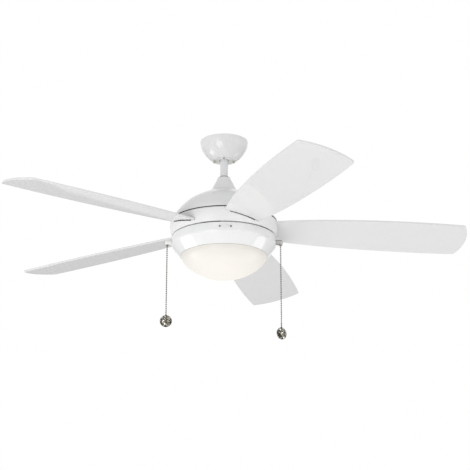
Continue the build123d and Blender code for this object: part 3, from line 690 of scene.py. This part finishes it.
def make_floor(stage):
    """Pale floor that sweeps up far behind the fan, to about the height of its blades.

    Its height at a depth y is floor + rise s^2 (3 - 2 s), where s goes from 0 to 1 over the sweep."""
    half_width, start, end, steps = 12.0, 4.0, 10.0, 49
    depth = np.append(-half_width, np.linspace(start, end, steps))
    s = np.clip((depth - start) / (end - start), 0.0, 1.0)
    height = stage.floor_height + stage.sweep_rise * s**2 * (3.0 - 2.0 * s)
    left = np.column_stack([np.full(len(depth), -half_width), depth, height])
    points = np.concatenate([left, left * (-1.0, 1.0, 1.0)])
    row = np.arange(len(depth) - 1)
    faces = np.stack([row, row + len(depth), row + len(depth) + 1, row + 1], axis=1)
    mesh = bpy.data.meshes.new("floor")
    mesh.from_pydata(points.tolist(), [], faces.tolist())
    mesh.polygons.foreach_set("use_smooth", np.full(len(mesh.polygons), True))
    floor = bpy.data.objects.new("floor", mesh)
    bpy.context.scene.collection.objects.link(floor)
    floor.data.materials.append(pale_floor(stage))


def pale_floor(stage):
    """Matt pale floor, clear from below so that a camera under it still sees the fan."""
    finish = finish_named("pale_floor")
    base = finish.blend(finish.noise(3.0), stage.floor_dark, stage.floor_pale)
    matt = finish.node("ShaderNodeBsdfPrincipled", None, {"Base Color": base, "Roughness": 0.7}, "BSDF")
    below = finish.node("ShaderNodeNewGeometry", output="Backfacing")
    clear = finish.node("ShaderNodeBsdfTransparent")
    return finish.output(finish.node("ShaderNodeMixShader", None, {0: below, 1: matt, 2: clear}))


def make_surround(stage):
    """Even light all round, and plain white to the camera, to gloss and through glass."""
    world = bpy.data.worlds.new("surround")
    bpy.context.scene.world = world
    finish = Finish(world)
    path = finish.node("ShaderNodeLightPath").socket.node
    rays = ("Is Camera Ray", "Is Glossy Ray", "Is Transmission Ray")
    camera, gloss, glass = (Value(finish, path.outputs[ray]) for ray in rays)
    direct = camera.larger(gloss).larger(glass)
    strength = stage.fill_light + direct * (1.0 - stage.fill_light)
    light = finish.node("ShaderNodeBackground", None, {"Color": colour4(WHITE), "Strength": strength})
    finish.output(light, "ShaderNodeOutputWorld")


def make_lamp(name, azimuth, elevation, size, power):
    """Soft box that faces the fan from an azimuth, counted from the front to the right, and an elevation."""
    light = bpy.data.lights.new(name, "AREA")
    light.shape = "RECTANGLE"
    light.size, light.size_y = size
    light.energy = power
    lamp = bpy.data.objects.new(name, light)
    bpy.context.scene.collection.objects.link(lamp)
    turn, lift = math.radians(azimuth), math.radians(elevation)
    away = Vector((math.sin(turn) * math.cos(lift), -math.cos(turn) * math.cos(lift), math.sin(lift)))
    lamp.location = (cad_box[0] + cad_box[1]) / 2 + LAMP_DISTANCE * away
    lamp.rotation_euler = (-away).to_track_quat("-Z", "Y").to_euler()


def make_camera(stage):
    """Camera that looks along +Y and up, without a roll."""
    camera = bpy.data.cameras.new("camera")
    camera.lens = stage.lens
    camera.sensor_width = FILM_WIDTH
    eye = bpy.data.objects.new("camera", camera)
    bpy.context.scene.collection.objects.link(eye)
    eye.location = stage.eye
    eye.rotation_euler = (math.pi / 2 + stage.look_up, 0.0, 0.0)
    bpy.context.scene.camera = eye


class FAN_OT_finish_frame(bpy.types.Operator):
    """Gives every piece of the frame the finish of its slot"""

    bl_idname = "fan.finish_frame"
    bl_label = "Finish Frame"

    def execute(self, context):
        mix_finishes(context.scene.fan_colours, context.scene.fan_sizes)
        for node, obj in frame["nodes"].items():
            set_finish(obj, SLOTS[node])
        return {"FINISHED"}


class FAN_OT_canopy(bpy.types.Operator):
    """Covers the canopy at the ceiling and its two thumb screws"""

    bl_idname = "fan.canopy"
    bl_label = "Canopy"

    def execute(self, context):
        make_shell("canopy")
        make_shell("canopy_screws")
        return {"FINISHED"}


class FAN_OT_rod(bpy.types.Operator):
    """Covers the rod, the cone under it and the cone's grommet"""

    bl_idname = "fan.rod"
    bl_label = "Rod and Cone"

    def execute(self, context):
        make_shell("downrod")
        make_shell("coupling_cover")
        make_shell("cover_grommet")
        return {"FINISHED"}


class FAN_OT_housing(bpy.types.Operator):
    """Covers the fixed dome and the turning band"""

    bl_idname = "fan.housing"
    bl_label = "Housing"

    def execute(self, context):
        make_shell("upper_housing", "dome_paint")
        make_shell("blade_band", "band_paint")
        return {"FINISHED"}


class FAN_OT_blades(bpy.types.Operator):
    """Covers the blades"""

    bl_idname = "fan.blades"
    bl_label = "Blades"

    def execute(self, context):
        for number in range(1, BLADE_COUNT + 1):
            make_shell(f"blade_{number}")
        return {"FINISHED"}


class FAN_OT_fitter(bpy.types.Operator):
    """Covers the light fitter, its chain guides and its reverse switch"""

    bl_idname = "fan.fitter"
    bl_label = "Light Fitter"

    def execute(self, context):
        for node in ("light_fitter", "fan_chain_guide", "guide_bushes", "reverse_slider"):
            make_shell(node)
        # The light's chain guide gets grey satin metal, darker than the fan's white guide
        make_shell("light_chain_guide", "guide_nickel")
        make_shell("reverse_switch_screws", "switch_tan")
        return {"FINISHED"}


class FAN_OT_bowl(bpy.types.Operator):
    """Covers the opal bowl and the gasket at its rim"""

    bl_idname = "fan.bowl"
    bl_label = "Glass Bowl"

    def execute(self, context):
        make_shell("glass_bowl")
        make_shell("rim_gasket")
        return {"FINISHED"}


class FAN_OT_chains(bpy.types.Operator):
    """Hangs the two bead chains with their bells and crystal fobs"""

    bl_idname = "fan.chains"
    bl_label = "Pull Chains"

    def execute(self, context):
        fan_fob = make_fob("fan_fob", 0.0)
        light_fob = make_fob("light_fob", context.scene.fan_sizes.light_fob_turn)
        make_chain("fan_pull_chain", FAN_CHAIN_ROUTE, "fan_pull")
        make_chain("light_pull_chain", LIGHT_CHAIN_ROUTE, "light_pull")
        return {"FINISHED"}


class FAN_OT_stage(bpy.types.Operator):
    """Sets the floor, the soft lamps, the white surround and the camera"""

    bl_idname = "fan.stage"
    bl_label = "Stage"

    def execute(self, context):
        stage = context.scene.fan_stage
        context.scene.view_settings.view_transform = "Standard"
        make_floor(stage)
        make_surround(stage)
        for name, azimuth, elevation, size, power in SOFT_BOXES:
            make_lamp(name, azimuth, elevation, size, power * stage.lamp_level)
        make_camera(stage)
        return {"FINISHED"}


class FAN_PT_panel(bpy.types.Panel):
    """Settings and steps of the fan"""

    bl_label = "Ceiling Fan"
    bl_idname = "FAN_PT_panel"
    bl_space_type = "VIEW_3D"
    bl_region_type = "UI"
    bl_category = "Ceiling Fan"

    def draw(self, context):
        for step in STEPS:
            self.layout.operator(step.bl_idname)
        for group in (context.scene.fan_sizes, context.scene.fan_colours, context.scene.fan_stage):
            box = self.layout.box()
            for name in group.__annotations__:
                box.prop(group, name)


GROUPS = {"fan_sizes": FanSizes, "fan_colours": FanColours, "fan_stage": FanStage}
STEPS = (
    FAN_OT_stage, FAN_OT_finish_frame, FAN_OT_canopy, FAN_OT_rod, FAN_OT_housing, FAN_OT_blades,
    FAN_OT_fitter, FAN_OT_bowl, FAN_OT_chains,
)


def register():
    """Registers the classes and puts the settings on the scene."""
    for made in (*GROUPS.values(), *STEPS, FAN_PT_panel):
        bpy.utils.register_class(made)
    for name, group in GROUPS.items():
        setattr(bpy.types.Scene, name, PointerProperty(type=group))


def unregister():
    """Takes the settings and the classes away again."""
    for name in GROUPS:
        delattr(bpy.types.Scene, name)
    for made in reversed((*GROUPS.values(), *STEPS, FAN_PT_panel)):
        bpy.utils.unregister_class(made)


def main():
    """Makes every piece and the stage."""
    register()
    bpy.ops.fan.stage()
    bpy.ops.fan.finish_frame()
    bpy.ops.fan.canopy()
    bpy.ops.fan.rod()
    bpy.ops.fan.housing()
    bpy.ops.fan.blades()
    bpy.ops.fan.fitter()
    bpy.ops.fan.bowl()
    bpy.ops.fan.chains()


if __name__ == "__main__":
    main()
